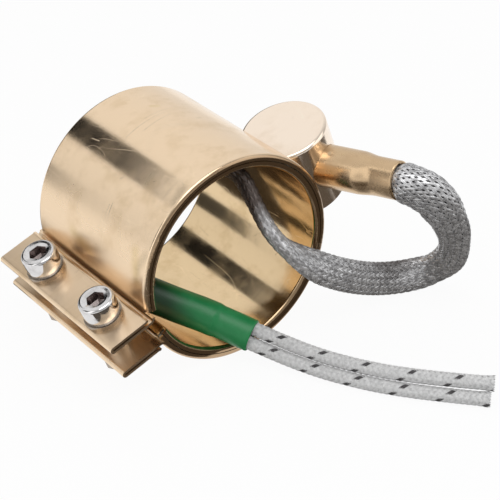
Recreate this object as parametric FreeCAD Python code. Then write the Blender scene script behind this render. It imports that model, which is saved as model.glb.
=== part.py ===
"""Clamp-on band heater for a machine nozzle, with a drum terminal box and a braided lead.

Millimetres, +Z up.  The origin is the middle of the bore, on its axis, which lies along Y.
The band lies on its side: its clamp ears point to -X, a little below level, and the
terminal box stands on the opposite side.  The lead leaves the box towards -Y (the front),
drops to the surface that the band lies on, and is tucked back into the bore.
"""
import FreeCAD, Part
import math
import os

V = FreeCAD.Vector
ORIGIN = V(0, 0, 0)
X_AXIS = V(1, 0, 0)
Y_AXIS = V(0, 1, 0)
Z_AXIS = V(0, 0, 1)

# ---- band: sheet, insulation and heating layers, from the bore outwards
BORE_DIAMETER = 45.0
BAND_WIDTH = 44.4
LINING_SHEET = 0.5
MICA_THICKNESS = 0.8
RIBBON_THICKNESS = 0.2
SHEATH_SHEET = 0.6
LAYER_GAP = 0.05
EDGE_BEND = 0.9            # outside radius of the turned edges
EDGE_SEAM = 0.2            # open seam between the two turned edges on each face
LAYER_END_GAP = 0.4        # insulation stops this far inside the turned edges

# ---- clamp ears, each hemmed back on itself
CLAMP_ANGLE = 200.3        # direction of the clamp gap, from +X towards +Z
CLAMP_GAP = 6.3
EAR_PAST_SCREW = 5.2       # screw axis to the folded nose
EAR_FRONT_OVERHANG = 2.3
EAR_BACK_OVERHANG = 0.9
EAR_ROOT_BEND = 1.1        # radius at mid sheet where the band turns into the ear
HEM_GAP = 0.5
HEM_STOP = 0.7             # from the band's skin to the bottom of the hem's raised lip
LIP_BEND = 0.8
LIP_TURN = 55.0
LINING_GAP_MARGIN = 0.3    # lining end to the mouth of the clamp gap

# ---- clamp screws, ISO metric M5 socket head cap screws
LIP_CLEARANCE = 0.3        # hem's raised lip to the washers
SCREW_FROM_FRONT = 7.3     # front face to the front screw
SCREW_SPACING = 24.4
SCREW_THREAD = 5.0
SCREW_LENGTH = 16.0
HEAD_DIAMETER = 8.5
HEAD_HEIGHT = 5.0
HEAD_CHAMFER = 0.45
SOCKET_FLATS = 4.0
SOCKET_DEPTH = 2.6
TIP_CHAMFER = 0.6
WASHER_DIAMETER = 9.0
WASHER_THICKNESS = 1.0
NUT_FLATS = 8.0
NUT_HEIGHT = 4.0
NUT_FACE_CHAMFER = 0.1     # how far inside the flats the nut's round faces end
NUT_CHAMFER_ANGLE = 30.0
EAR_HOLE_CLEARANCE = 0.25
WASHER_CLEARANCE = 0.15
THREAD_CLEARANCE = 0.05
SEAT = 0.05                # gap left between pieces that touch

# ---- heating ribbon: a meander of axial strips
STRIP_COUNT = 40
STRIP_GAP = 0.9
STRIP_BRIDGE = 2.4

# ---- terminal box: a drum whose axis is tangential, opposite the clamp gap
BOX_DIAMETER = 21.0
BOX_LENGTH = 18.8
BOX_SHEET = 0.6
BOX_EDGE = 1.0
BOX_STANDOFF = 4.1         # band's skin to the drum's axis
BOX_FROM_FRONT = 15.5      # front face to the drum's axis
COVER_RIM = 2.2
COVER_RECESS = 0.4
COVER_BEND = 0.9

# ---- outlet tube, round at the box and pressed oval round the lead
TUBE_DIAMETER = 10.2
TUBE_WALL = 0.7
TUBE_LEAN = 18.7           # outward lean from the front direction
TUBE_INSIDE = 1.6          # stub inside the drum's wall
TUBE_ROUND_LENGTH = 9.5    # outside the drum
TUBE_NECK_LENGTH = 3.5
TUBE_LENGTH = 19.3         # outside the drum
CRIMP_TALL = 10.0
CRIMP_WIDE = 8.5

# ---- terminals inside the box
WINDOW_ALONG = 12.0
WINDOW_ACROSS = 6.4
BUSHING_CLEARANCE = 0.1
BUSHING_FLANGE = 1.5       # flange past the window on every side
BUSHING_FLANGE_HEIGHT = 1.6
TAB_SPACING = 6.0
TAB_WIDTH = 2.4
TAB_THICKNESS = 0.4
TAB_CLEARANCE = 0.1
TAB_RISE = 3.6             # above the bushing's flange
SPLICE_DIAMETER = 3.6
SPLICE_WALL = 0.5
SPLICE_LENGTH = 5.0
SPLICE_LIFT = 1.2          # bushing to the splice's lower end
CONDUCTOR_DIAMETER = 1.4
CONDUCTOR_FROM_WALL = (4.25, 2.35)  # drum's outer wall in to each strand's level run
CONDUCTOR_OVER = (6.0, 3.5)  # drum axis to the end of each strand's level run
INNER_LEAD_START = 8.9     # drum axis to the insulation's inner end

# ---- lead: route points chosen by hand, in millimetres
WIRE_DIAMETER = 3.3
BRAID_DIAMETER = 7.0
SLEEVE_DIAMETER = 8.2
SLEEVE_NECK_DIAMETER = 7.7
SLEEVE_NECK_LENGTH = 4.4
SLEEVE_STEP_LENGTH = 0.7
BRAID_INSERTION = 3.55     # braid inside the sleeve
WIRE_INSERTION = 3.0       # wires inside the sleeve
CORD_CLEARANCE = 0.1
BRAID_CLEARANCE = 0.05
BEND_SHARE = 0.45          # share of the shorter run that each bend takes
BRAID_ROUTE = [
    (35.31, -30.19, 13.06), (38.8, -41.18, 14.35), (45.0, -43.4, 4.4), (51.8, -38.8, -5.8),
    (57.4, -32.8, -15.6), (55.6, -27.2, -21.6), (46.4, -24.2, -21.8), (34.7, -25.8, -16.6),
    (23.2, -27.4, -9.6), (13.4, -27.0, -2.4), (7.8, -24.6, 4.4), (6.4, -20.2, 11.2), (6.2, -14.4, 17.4),
    (2.2, -9.2, 18.3), (-8.6, -5.8, 16.2), (-16.4, -4.8, 8.4), (-18.1, -4.6, 1.4),
    (-17.63, -5.35, -4.82), (-14.73, -8.09, -10.46),
]
SLEEVE_ROUTE = [
    (-16.2, -6.7, -7.6), (-14.5, -8.3, -10.9), (-9.6, -12.8, -13.8), (-4.4, -17.64, -16.36),
    (0.8, -26.4, -18.9),
]
WIRE_1_ROUTE = [
    (0.28, -23.73, -16.77), (6.4, -34.23, -19.77), (12.8, -45.9, -20.9),
    (21.6, -59.4, -20.8), (32.3, -70.4, -20.7),
]
WIRE_2_ROUTE = [
    (-1.62, -24.03, -19.59), (4.5, -34.53, -22.59), (11.2, -46.9, -23.7),
    (20.4, -60.6, -23.8), (31.0, -71.9, -23.9),
]

# ---- sizes that follow from the ones above
BORE_R = BORE_DIAMETER / 2
LINING_R = BORE_R + LINING_SHEET
INNER_MICA_R = LINING_R + LAYER_GAP
RIBBON_R = INNER_MICA_R + MICA_THICKNESS + LAYER_GAP
OUTER_MICA_R = RIBBON_R + RIBBON_THICKNESS + LAYER_GAP
SHEATH_INNER_R = OUTER_MICA_R + MICA_THICKNESS + LAYER_GAP
BAND_R = SHEATH_INNER_R + SHEATH_SHEET
HALF_WIDTH = BAND_WIDTH / 2
SEAM_R = (BORE_R + BAND_R) / 2
LAYER_HALF_WIDTH = HALF_WIDTH - SHEATH_SHEET - LAYER_END_GAP

EAR_THICKNESS = 2 * SHEATH_SHEET + HEM_GAP
EAR_FACE = CLAMP_GAP / 2 + EAR_THICKNESS   # gap's middle plane to an ear's outer face
LIP_REACH = BAND_R + HEM_STOP + LIP_BEND   # bore axis to where the hem starts to rise
SCREW_REACH = LIP_REACH + LIP_CLEARANCE + WASHER_DIAMETER / 2
EAR_REACH = SCREW_REACH + EAR_PAST_SCREW   # bore axis to the folded nose
EAR_FRONT = -HALF_WIDTH - EAR_FRONT_OVERHANG
EAR_BACK = HALF_WIDTH + EAR_BACK_OVERHANG
SCREW_YS = {
    "front": -HALF_WIDTH + SCREW_FROM_FRONT,
    "rear": -HALF_WIDTH + SCREW_FROM_FRONT + SCREW_SPACING,
}

BOX_ANGLE = CLAMP_ANGLE - 180.0
BOX_R = BOX_DIAMETER / 2
BOX_REACH = BAND_R + BOX_STANDOFF
BOX_Y = -HALF_WIDTH + BOX_FROM_FRONT
TUBE_R = TUBE_DIAMETER / 2

made = {}


def keep(name, shape):
    """Store a finished sub-part under its node name."""
    made[name] = shape


def turned(shape, angle):
    """Turn a shape from the local frame, X radial and Z tangential, to its angle on the band."""
    shape = shape.copy()
    shape.rotate(ORIGIN, Y_AXIS, -angle)
    return shape


def cylinder(radius, start, direction, length):
    """A solid cylinder from a start point along a direction."""
    return Part.makeCylinder(radius, length, start, direction)


def block(low, high):
    """A box between two corners."""
    size = high - low
    return Part.makeBox(size.x, size.y, size.z, low)


def closed_face(edges):
    """A face from a closed run of edges."""
    return Part.Face(Part.Wire(Part.__sortEdges__(edges)))


def line(a, b):
    """A straight edge between two points."""
    return Part.makeLine(a, b)


def arc(centre, radius, start, end, place):
    """An arc between two angles in degrees; place turns plane coordinates into a point."""
    points = []
    for angle in (start, (start + end) / 2, end):
        turn = math.radians(angle)
        points.append(place(centre[0] + radius * math.cos(turn), centre[1] + radius * math.sin(turn)))
    return Part.Arc(*points).toShape()


# ---------------------------------------------------------------- band

def ring_sector(face, half_gap):
    """Revolve a profile about the bore axis, all but a gap centred on local +X."""
    face = face.copy()
    face.rotate(ORIGIN, Y_AXIS, half_gap)
    return face.revolve(ORIGIN, Y_AXIS, 360 - 2 * half_gap)


def shell_profile(inner_r, outer_r, half_width):
    """Plain rectangular section of a layer, radius along X."""
    corners = [
        V(inner_r, -half_width, 0),
        V(outer_r, -half_width, 0),
        V(outer_r, half_width, 0),
        V(inner_r, half_width, 0),
    ]
    return Part.Face(Part.makePolygon(corners + corners[:1]))


def channel_profile(face_r, tip_r, sheet, bend):
    """Section of a sheet whose two edges are turned over the band's faces."""
    side = 1 if tip_r > face_r else -1
    w = HALF_WIDTH
    inside = face_r + side * sheet
    corner = face_r + side * bend
    edges = []
    for end in (-1, 1):
        def place(x, y, end=end):
            return V(corner + side * x, end * y, 0)
        centre = (0, w - bend)
        edges.append(arc(centre, bend, 90, 180, place))
        edges.append(arc(centre, bend - sheet, 90, 180, place))
        edges.append(line(V(tip_r, end * w, 0), V(corner, end * w, 0)))
        edges.append(line(V(tip_r, end * (w - sheet), 0), V(corner, end * (w - sheet), 0)))
        edges.append(line(V(tip_r, end * w, 0), V(tip_r, end * (w - sheet), 0)))
    edges.append(line(V(face_r, bend - w, 0), V(face_r, w - bend, 0)))
    edges.append(line(V(inside, bend - w, 0), V(inside, w - bend, 0)))
    return closed_face(edges)


def ear_root():
    """Centre of the bend from band to ear, and its angle from the middle of the gap."""
    height = CLAMP_GAP / 2 + SHEATH_SHEET / 2 + EAR_ROOT_BEND
    reach = BAND_R - SHEATH_SHEET / 2 + EAR_ROOT_BEND
    return math.sqrt(reach ** 2 - height ** 2), height, math.degrees(math.asin(height / reach))


def ear_section():
    """Section of one ear, on the +Z side of the gap: root bend, sheet, hem and raised lip."""
    half = SHEATH_SHEET / 2
    root_x, root_z, root_angle = ear_root()
    gap_line = CLAMP_GAP / 2 + half
    hem = (HEM_GAP + SHEATH_SHEET) / 2
    nose_x = EAR_REACH - half - hem
    lip_x = LIP_REACH
    lip_z = gap_line + 2 * hem + LIP_BEND
    lip_end = 270 - LIP_TURN

    def place(x, z):
        return V(x, EAR_FRONT, z)

    def rim(centre, radius, angle):
        turn = math.radians(angle)
        return place(centre[0] + radius * math.cos(turn), centre[1] + radius * math.sin(turn))

    edges = []
    for offset in (-half, half):
        edges.append(arc((root_x, root_z), EAR_ROOT_BEND + offset, 180 + root_angle, 270, place))
        edges.append(line(place(root_x, gap_line - offset), place(nose_x, gap_line - offset)))
        edges.append(arc((nose_x, gap_line + hem), hem + offset, -90, 90, place))
        over = gap_line + 2 * hem + offset
        edges.append(line(place(nose_x, over), place(lip_x, over)))
        edges.append(arc((lip_x, lip_z), LIP_BEND - offset, 270, lip_end, place))
    for centre, radius, angle in (
        ((root_x, root_z), EAR_ROOT_BEND, 180 + root_angle),
        ((lip_x, lip_z), LIP_BEND, lip_end),
    ):
        edges.append(line(rim(centre, radius - half, angle), rim(centre, radius + half, angle)))
    return closed_face(edges)


def make_outer_sheath():
    """The clamping sheath: turned edges round the band and a hemmed ear each side of the gap."""
    root_angle = ear_root()[2]
    band = ring_sector(channel_profile(BAND_R, SEAM_R + EDGE_SEAM / 2, SHEATH_SHEET, EDGE_BEND), root_angle)
    ear = ear_section().extrude(V(0, EAR_BACK - EAR_FRONT, 0))
    other_ear = ear.mirror(ORIGIN, Z_AXIS)
    sheath = band.fuse([ear, other_ear]).removeSplitter()
    hole_r = SCREW_THREAD / 2 + EAR_HOLE_CLEARANCE
    holes = []
    for y in SCREW_YS.values():
        holes.append(cylinder(hole_r, V(SCREW_REACH, y, -2 * EAR_FACE), Z_AXIS, 4 * EAR_FACE))
    sheath = turned(sheath.cut(holes), CLAMP_ANGLE)
    return sheath.cut(terminal_window(SHEATH_INNER_R))


def make_inner_sheath():
    """The lining in the bore: turned edges, and ends folded out beside the insulation."""
    half_gap = lining_half_gap()
    profile = channel_profile(BORE_R, SEAM_R - EDGE_SEAM / 2, LINING_SHEET, EDGE_BEND)
    lining = ring_sector(profile, half_gap)
    fold_turn = math.degrees(LINING_SHEET / LINING_R)
    fold = shell_profile(LINING_R - LINING_SHEET / 2, SHEATH_INNER_R - LAYER_GAP, LAYER_HALF_WIDTH)
    folds = []
    for start in (half_gap, fold_turn - half_gap):
        side = fold.copy()
        side.rotate(ORIGIN, Y_AXIS, start - fold_turn)
        folds.append(side.revolve(ORIGIN, Y_AXIS, fold_turn))
    return turned(lining.fuse(folds).removeSplitter(), CLAMP_ANGLE)


def lining_half_gap():
    """Half the lining's opening, in degrees about the bore axis."""
    return math.degrees(math.asin((CLAMP_GAP / 2 + LINING_GAP_MARGIN) / BORE_R))


def layer_half_gap():
    """Half the opening of the layers, which end inside the lining's folded ends."""
    fold = math.degrees((LINING_SHEET + LAYER_END_GAP) / LINING_R)
    return lining_half_gap() + fold


def layer(inner_r, thickness):
    """One plain layer of the band."""
    profile = shell_profile(inner_r, inner_r + thickness, LAYER_HALF_WIDTH)
    return turned(ring_sector(profile, layer_half_gap()), CLAMP_ANGLE)


def terminal_window(inner_r):
    """Cutter for the window that the terminals pass through, from a radius outwards."""
    low_r = math.sqrt(inner_r ** 2 - (WINDOW_ACROSS / 2) ** 2) - LAYER_GAP
    low = V(low_r, BOX_Y - WINDOW_ALONG / 2, -WINDOW_ACROSS / 2)
    high = V(BAND_R + LAYER_GAP, BOX_Y + WINDOW_ALONG / 2, WINDOW_ACROSS / 2)
    return turned(block(low, high), BOX_ANGLE)


def make_heating_ribbon():
    """Resistance ribbon: axial strips joined at alternate ends into one meander."""
    ribbon = layer(RIBBON_R, RIBBON_THICKNESS)
    span = 360 - 2 * layer_half_gap()
    pitch = span / STRIP_COUNT
    slots = []
    for i in range(1, STRIP_COUNT):
        low_y = -HALF_WIDTH if i % 2 else STRIP_BRIDGE - LAYER_HALF_WIDTH
        high_y = LAYER_HALF_WIDTH - STRIP_BRIDGE if i % 2 else HALF_WIDTH
        slot = block(V(LINING_R, low_y, -STRIP_GAP / 2), V(BAND_R, high_y, STRIP_GAP / 2))
        slots.append(turned(slot, CLAMP_ANGLE + layer_half_gap() + i * pitch))
    return ribbon.cut(slots)


# ---------------------------------------------------------------- clamp screws

def hexagon(flats, height, z, x, y):
    """A hexagonal prism along Z, with its flats across Y."""
    corner = flats / math.sqrt(3)
    points = []
    for k in range(7):
        turn = math.radians(60 * k)
        points.append(V(x + corner * math.cos(turn), y + corner * math.sin(turn), z))
    return Part.Face(Part.makePolygon(points)).extrude(V(0, 0, height))


def lathe(points, x, y):
    """Turn a profile of (radius, z) points about an axis along Z through x, y."""
    corners = [V(x + r, y, z) for r, z in points]
    return Part.Face(Part.makePolygon(corners + corners[:1])).revolve(V(x, y, 0), Z_AXIS, 360)


def make_screw(y):
    """Socket head cap screw: head on the upper ear's washer, shank down through both ears."""
    seat = -EAR_FACE - WASHER_THICKNESS - SEAT
    top = seat - HEAD_HEIGHT
    tip = seat + SCREW_LENGTH
    shank_r = SCREW_THREAD / 2
    head_r = HEAD_DIAMETER / 2
    body = lathe([
        (0, top), (head_r - HEAD_CHAMFER, top), (head_r, top + HEAD_CHAMFER), (head_r, seat),
        (shank_r, seat), (shank_r, tip - TIP_CHAMFER), (shank_r - TIP_CHAMFER, tip), (0, tip),
    ], SCREW_REACH, y)
    socket = hexagon(SOCKET_FLATS, SOCKET_DEPTH, top, SCREW_REACH, y)
    drill_r = SOCKET_FLATS / 2
    drilled = lathe([
        (0, top), (drill_r, top), (drill_r, top + SOCKET_DEPTH), (0, top + SOCKET_DEPTH + drill_r / 2),
    ], SCREW_REACH, y)
    return turned(body.cut([socket, drilled]), CLAMP_ANGLE)


def make_washer(y):
    """Small plain washer on the upper ear."""
    bottom = V(SCREW_REACH, y, -EAR_FACE)
    disc = cylinder(WASHER_DIAMETER / 2, bottom, -Z_AXIS, WASHER_THICKNESS)
    hole = cylinder(SCREW_THREAD / 2 + WASHER_CLEARANCE, bottom, -Z_AXIS, WASHER_THICKNESS)
    return turned(disc.cut(hole), CLAMP_ANGLE)


def make_nut(y):
    """Hexagon nut against the lower ear, its corners turned off."""
    prism = hexagon(NUT_FLATS, NUT_HEIGHT, EAR_FACE, SCREW_REACH, y)
    flat_r = NUT_FLATS / 2 - NUT_FACE_CHAMFER
    corner_r = NUT_FLATS / math.sqrt(3)
    drop = (corner_r - flat_r) * math.tan(math.radians(NUT_CHAMFER_ANGLE))
    top = EAR_FACE + NUT_HEIGHT
    barrel = lathe([
        (0, EAR_FACE), (flat_r, EAR_FACE), (corner_r, EAR_FACE + drop), (corner_r, top - drop),
        (flat_r, top), (0, top),
    ], SCREW_REACH, y)
    hole_r = SCREW_THREAD / 2 + THREAD_CLEARANCE
    hole = cylinder(hole_r, V(SCREW_REACH, y, EAR_FACE), Z_AXIS, NUT_HEIGHT)
    return turned(prism.common(barrel).cut(hole), CLAMP_ANGLE)


# ---------------------------------------------------------------- terminal box

def tube_frame():
    """Start on the drum's axis and direction of the outlet tube, in the box's local frame."""
    lean = math.radians(TUBE_LEAN)
    return V(BOX_REACH, BOX_Y, 0), V(math.sin(lean), -math.cos(lean), 0)


def cup(radius, low, high, sheet, bend):
    """A drawn cup about the drum's axis, closed with a rounded edge at high."""
    side = 1 if high > low else -1

    def place(x, z):
        return V(BOX_REACH + x, BOX_Y, high - side * z)

    centre = (radius - bend, bend)
    edges = [
        line(place(0, 0), place(radius - bend, 0)),
        arc(centre, bend, -90, 0, place),
        line(place(radius, bend), place(radius, abs(high - low))),
        line(place(radius, abs(high - low)), place(radius - sheet, abs(high - low))),
        line(place(radius - sheet, abs(high - low)), place(radius - sheet, bend)),
        arc(centre, bend - sheet, -90, 0, place),
        line(place(radius - bend, sheet), place(0, sheet)),
        line(place(0, sheet), place(0, 0)),
    ]
    return closed_face(edges).revolve(V(BOX_REACH, BOX_Y, 0), Z_AXIS, 360)


def band_space():
    """The room that the band takes, cut out of what is seated on it."""
    return cylinder(BAND_R + SEAT, V(0, -BAND_WIDTH, 0), Y_AXIS, 2 * BAND_WIDTH)


def make_box():
    """The drum: a drawn cup saddled on the band, with a hole for the outlet tube."""
    start, direction = tube_frame()
    drum = cup(BOX_R, -BOX_LENGTH / 2, BOX_LENGTH / 2, BOX_SHEET, BOX_EDGE)
    hole = cylinder(TUBE_R + SEAT, start, direction, 2 * BOX_R)
    return turned(drum.cut([band_space(), hole]), BOX_ANGLE)


def make_cover():
    """The shallow cover pressed into the drum's open end."""
    face = COVER_RECESS - BOX_LENGTH / 2 + COVER_RIM
    radius = BOX_R - BOX_SHEET - SEAT
    cover = cup(radius, face - COVER_RIM, face, BOX_SHEET, COVER_BEND)
    return turned(cover.cut(band_space()), BOX_ANGLE)


def oval(tall, wide, z):
    """An ellipse across Z with its long side along X."""
    return Part.Wire(Part.Ellipse(V(tall / 2, 0, z), V(0, wide / 2, z), V(0, 0, z)).toShape())


def tube_stages(shrink):
    """The outlet tube's round, necking and oval stages as one solid, made smaller by a wall."""
    round_end = TUBE_INSIDE + TUBE_ROUND_LENGTH
    oval_start = round_end + TUBE_NECK_LENGTH
    end = TUBE_INSIDE + TUBE_LENGTH
    tall = CRIMP_TALL - 2 * shrink
    wide = CRIMP_WIDE - 2 * shrink
    bore = TUBE_DIAMETER - 2 * shrink
    straight = cylinder(bore / 2, ORIGIN, Z_AXIS, round_end)
    circle = Part.Wire(Part.makeCircle(bore / 2, V(0, 0, round_end)))
    neck = Part.makeLoft([circle, oval(tall, wide, oval_start)], True, True)
    pressed = Part.Face(oval(tall, wide, oval_start)).extrude(V(0, 0, end - oval_start))
    return straight.fuse([neck, pressed])


def make_outlet_tube():
    """The outlet tube, laid along its axis from inside the drum."""
    start, direction = tube_frame()
    tube = tube_stages(0).cut(tube_stages(TUBE_WALL))
    across = Z_AXIS.cross(direction)
    turn = FreeCAD.Rotation(Z_AXIS, across * -1, direction, "ZXY")
    tube.Placement = FreeCAD.Placement(start + direction * (BOX_R - TUBE_INSIDE), turn)
    return turned(tube, BOX_ANGLE)


def tab_ys():
    """Where the two tabs stand along the bore axis."""
    return [BOX_Y - TAB_SPACING / 2, BOX_Y + TAB_SPACING / 2]


def bushing_top():
    """Reach of the bushing's outer face."""
    return BAND_R + SEAT + BUSHING_FLANGE_HEIGHT


def make_bushing():
    """Ceramic bushing: a plug in the window, with a flange on the sheath and a slot per tab."""
    along = WINDOW_ALONG / 2 - BUSHING_CLEARANCE
    across = WINDOW_ACROSS / 2 - BUSHING_CLEARANCE
    floor = RIBBON_R + RIBBON_THICKNESS + LAYER_GAP
    plug = block(V(floor, BOX_Y - along, -across), V(bushing_top(), BOX_Y + along, across))
    flange = block(
        V(BAND_R + SEAT, BOX_Y - along - BUSHING_FLANGE, -across - BUSHING_FLANGE),
        V(bushing_top(), BOX_Y + along + BUSHING_FLANGE, across + BUSHING_FLANGE),
    )
    slots = []
    for y in tab_ys():
        half_y = TAB_WIDTH / 2 + TAB_CLEARANCE
        half_z = TAB_THICKNESS / 2 + TAB_CLEARANCE
        slots.append(block(V(BORE_R, y - half_y, -half_z), V(2 * BAND_R, y + half_y, half_z)))
    return turned(plug.fuse(flange).removeSplitter().cut(slots), BOX_ANGLE)


def make_tab(y):
    """Nickel strip that stands on the ribbon and rises through the bushing."""
    foot = RIBBON_R + RIBBON_THICKNESS + LAYER_GAP / 2
    strip = block(
        V(foot, y - TAB_WIDTH / 2, -TAB_THICKNESS / 2),
        V(bushing_top() + TAB_RISE, y + TAB_WIDTH / 2, TAB_THICKNESS / 2),
    )
    return turned(strip, BOX_ANGLE)


def make_splice(y):
    """Crimp barrel that joins a tab to a conductor."""
    start = V(bushing_top() + SPLICE_LIFT, y, 0)
    barrel = cylinder(SPLICE_DIAMETER / 2, start, X_AXIS, SPLICE_LENGTH)
    hole = cylinder(SPLICE_DIAMETER / 2 - SPLICE_WALL, start, X_AXIS, SPLICE_LENGTH)
    return turned(barrel.cut(hole), BOX_ANGLE)


def inner_lead_line(side):
    """Start and direction of an insulated lead in the tube, in the box's local frame."""
    start, direction = tube_frame()
    offset = V(0, 0, side * (WIRE_DIAMETER / 2 + CORD_CLEARANCE))
    return start + direction * INNER_LEAD_START + offset, direction


def make_inner_lead(side):
    """The insulated inner end of a lead, in the outlet tube as far as the braid."""
    start, direction = inner_lead_line(side)
    braid_start = V(*BRAID_ROUTE[0]) - turned_point(start)
    length = braid_start.dot(turned_point(direction)) - CORD_CLEARANCE
    return turned(cylinder(WIRE_DIAMETER / 2, start, direction, length), BOX_ANGLE)


def turned_point(point):
    """A point or direction of the box's local frame, in the part's frame."""
    angle = math.radians(BOX_ANGLE)
    return V(
        point.x * math.cos(angle) - point.z * math.sin(angle),
        point.y,
        point.x * math.sin(angle) + point.z * math.cos(angle),
    )


def make_conductor(y, side, order):
    """Bare strand from inside a splice, up and over to the cut face of its insulated lead."""
    lead_start, direction = inner_lead_line(side)
    tab_top = bushing_top() + TAB_RISE
    crest = BOX_REACH + BOX_R - BOX_SHEET - CONDUCTOR_FROM_WALL[order]
    beyond = lead_start + direction * CONDUCTOR_DIAMETER
    points = [
        V(tab_top + SEAT, y, 0),
        V(crest, y, 0),
        V(crest, BOX_Y - CONDUCTOR_OVER[order], lead_start.z),
        beyond,
    ]
    strand = cord_tube([(p.x, p.y, p.z) for p in points], CONDUCTOR_DIAMETER)
    face = lead_start - direction * SEAT
    strand = strand.cut(cylinder(WIRE_DIAMETER, face, direction, WIRE_DIAMETER))
    return turned(strand, BOX_ANGLE)


# ---------------------------------------------------------------- lead

def cord_path(route):
    """Straight runs joined by tangent arcs, each as large as its two runs allow."""
    points = [V(*p) for p in route]
    edges = []
    radii = []
    last = points[0]
    for before, corner, after in zip(points, points[1:], points[2:]):
        into = corner - before
        out = after - corner
        half_turn = into.getAngle(out) / 2
        tangent = BEND_SHARE * min(into.Length, out.Length)
        radius = tangent / math.tan(half_turn)
        radii.append(radius)
        start = corner - into.normalize() * tangent
        end = corner + out.normalize() * tangent
        inward = (out - into).normalize()
        middle = corner + inward * (radius / math.cos(half_turn) - radius)
        edges.append(Part.LineSegment(last, start).toShape())
        edges.append(Part.Arc(start, middle, end).toShape())
        last = end
    edges.append(Part.LineSegment(last, points[-1]).toShape())
    return Part.Wire(edges), radii


def cord_tube(route, diameter):
    """A plain round tube along a route."""
    path = cord_path(route)[0]
    start = V(*route[0])
    ring = Part.Wire(Part.makeCircle(diameter / 2, start, V(*route[1]) - start))
    return path.makePipeShell([ring], True, True)


def report_cord(name, route, diameter, solid):
    """Print a cord's length, its bend radii and how its volume compares with its section."""
    path, radii = cord_path(route)
    expected = math.pi * diameter ** 2 / 4 * path.Length
    bends = ", ".join("%.1f" % r for r in radii)
    print("%s: %.1f mm long, volume %.4f of section x length" % (name, path.Length, solid.Volume / expected))
    print("  bend radii mm: %s" % bends)


def end_direction(route, first):
    """Unit direction of a route's first or last run."""
    a, b = (route[0], route[1]) if first else (route[-2], route[-1])
    return (V(*b) - V(*a)).normalize()


def make_sleeve():
    """Heat-shrink sleeve over the end of the braid, necked down over the two wires."""
    outward = end_direction(SLEEVE_ROUTE, False)
    inward = end_direction(SLEEVE_ROUTE, True)
    mouth = V(*SLEEVE_ROUTE[-1])
    neck_start = mouth - outward * SLEEVE_NECK_LENGTH
    step_start = neck_start - outward * SLEEVE_STEP_LENGTH
    full_path = cord_path(SLEEVE_ROUTE)[0]
    ring = Part.Wire(Part.makeCircle(SLEEVE_DIAMETER / 2, V(*SLEEVE_ROUTE[0]), inward))
    body = full_path.makePipeShell([ring], True, True)
    trim = cylinder(SLEEVE_DIAMETER, step_start, outward, SLEEVE_NECK_LENGTH + SLEEVE_STEP_LENGTH)
    step = Part.makeCone(
        SLEEVE_DIAMETER / 2, SLEEVE_NECK_DIAMETER / 2, SLEEVE_STEP_LENGTH, step_start, outward)
    neck = cylinder(SLEEVE_NECK_DIAMETER / 2, neck_start, outward, SLEEVE_NECK_LENGTH)
    sleeve = body.cut(trim).fuse([step, neck])
    pocket = cylinder(BRAID_DIAMETER / 2 + BRAID_CLEARANCE, V(*SLEEVE_ROUTE[0]), inward, BRAID_INSERTION)
    wire_r = WIRE_DIAMETER / 2 + CORD_CLEARANCE
    first = V(*WIRE_1_ROUTE[0])
    second = V(*WIRE_2_ROUTE[0])
    pair = second - first
    side = pair.cross(outward).normalize() * wire_r
    corners = [first + side, second + side, second - side, first - side, first + side]
    reach = 2 * WIRE_INSERTION
    slot = [Part.Face(Part.makePolygon(corners)).extrude(outward * reach)]
    for centre in (first, second):
        slot.append(cylinder(wire_r, centre - outward * CORD_CLEARANCE, outward, reach))
    return sleeve.cut([pocket] + slot)


# ---------------------------------------------------------------- assembly

keep("outer_sheath", make_outer_sheath())
keep("inner_sheath", make_inner_sheath())
keep("inner_mica", layer(INNER_MICA_R, MICA_THICKNESS))
keep("heating_ribbon", make_heating_ribbon())
keep("outer_mica", layer(OUTER_MICA_R, MICA_THICKNESS).cut(terminal_window(OUTER_MICA_R)))

for place_name, screw_y in SCREW_YS.items():
    keep("clamp_screw_" + place_name, make_screw(screw_y))
    keep("screw_washer_" + place_name, make_washer(screw_y))
    keep("clamp_nut_" + place_name, make_nut(screw_y))

keep("terminal_box", make_box())
keep("terminal_cover", make_cover())
keep("outlet_tube", make_outlet_tube())
keep("terminal_bushing", make_bushing())
for order, tab_y in enumerate(tab_ys()):
    number = order + 1
    lead_side = 1 - 2 * order
    keep("terminal_tab_%d" % number, make_tab(tab_y))
    keep("splice_crimp_%d" % number, make_splice(tab_y))
    keep("lead_conductor_%d" % number, make_conductor(tab_y, lead_side, order))
    keep("inner_lead_%d" % number, make_inner_lead(lead_side))

keep("lead_braid", cord_tube(BRAID_ROUTE, BRAID_DIAMETER))
keep("heat_shrink_sleeve", make_sleeve())
keep("lead_wire_1", cord_tube(WIRE_1_ROUTE, WIRE_DIAMETER))
keep("lead_wire_2", cord_tube(WIRE_2_ROUTE, WIRE_DIAMETER))

report_cord("lead_braid", BRAID_ROUTE, BRAID_DIAMETER, made["lead_braid"])
report_cord("heat_shrink_sleeve", SLEEVE_ROUTE, SLEEVE_DIAMETER, made["heat_shrink_sleeve"])
report_cord("lead_wire_1", WIRE_1_ROUTE, WIRE_DIAMETER, made["lead_wire_1"])
report_cord("lead_wire_2", WIRE_2_ROUTE, WIRE_DIAMETER, made["lead_wire_2"])

os.makedirs("parts", exist_ok=True)
for name, shape in made.items():
    print("%-20s solids %d valid %s volume %.1f" % (name, len(shape.Solids), shape.isValid(), shape.Volume))
    shape.exportStep("parts/%s.step" % name)
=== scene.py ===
"""Looks of the band heater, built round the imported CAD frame, in the same axes as the CAD.

Places and lengths handed to Blender are in metres.  Sizes written in millimetres are
multiplied by MM where they are used.
"""

import math

import bpy
import numpy as np
from mathutils import Matrix, Vector


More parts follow.
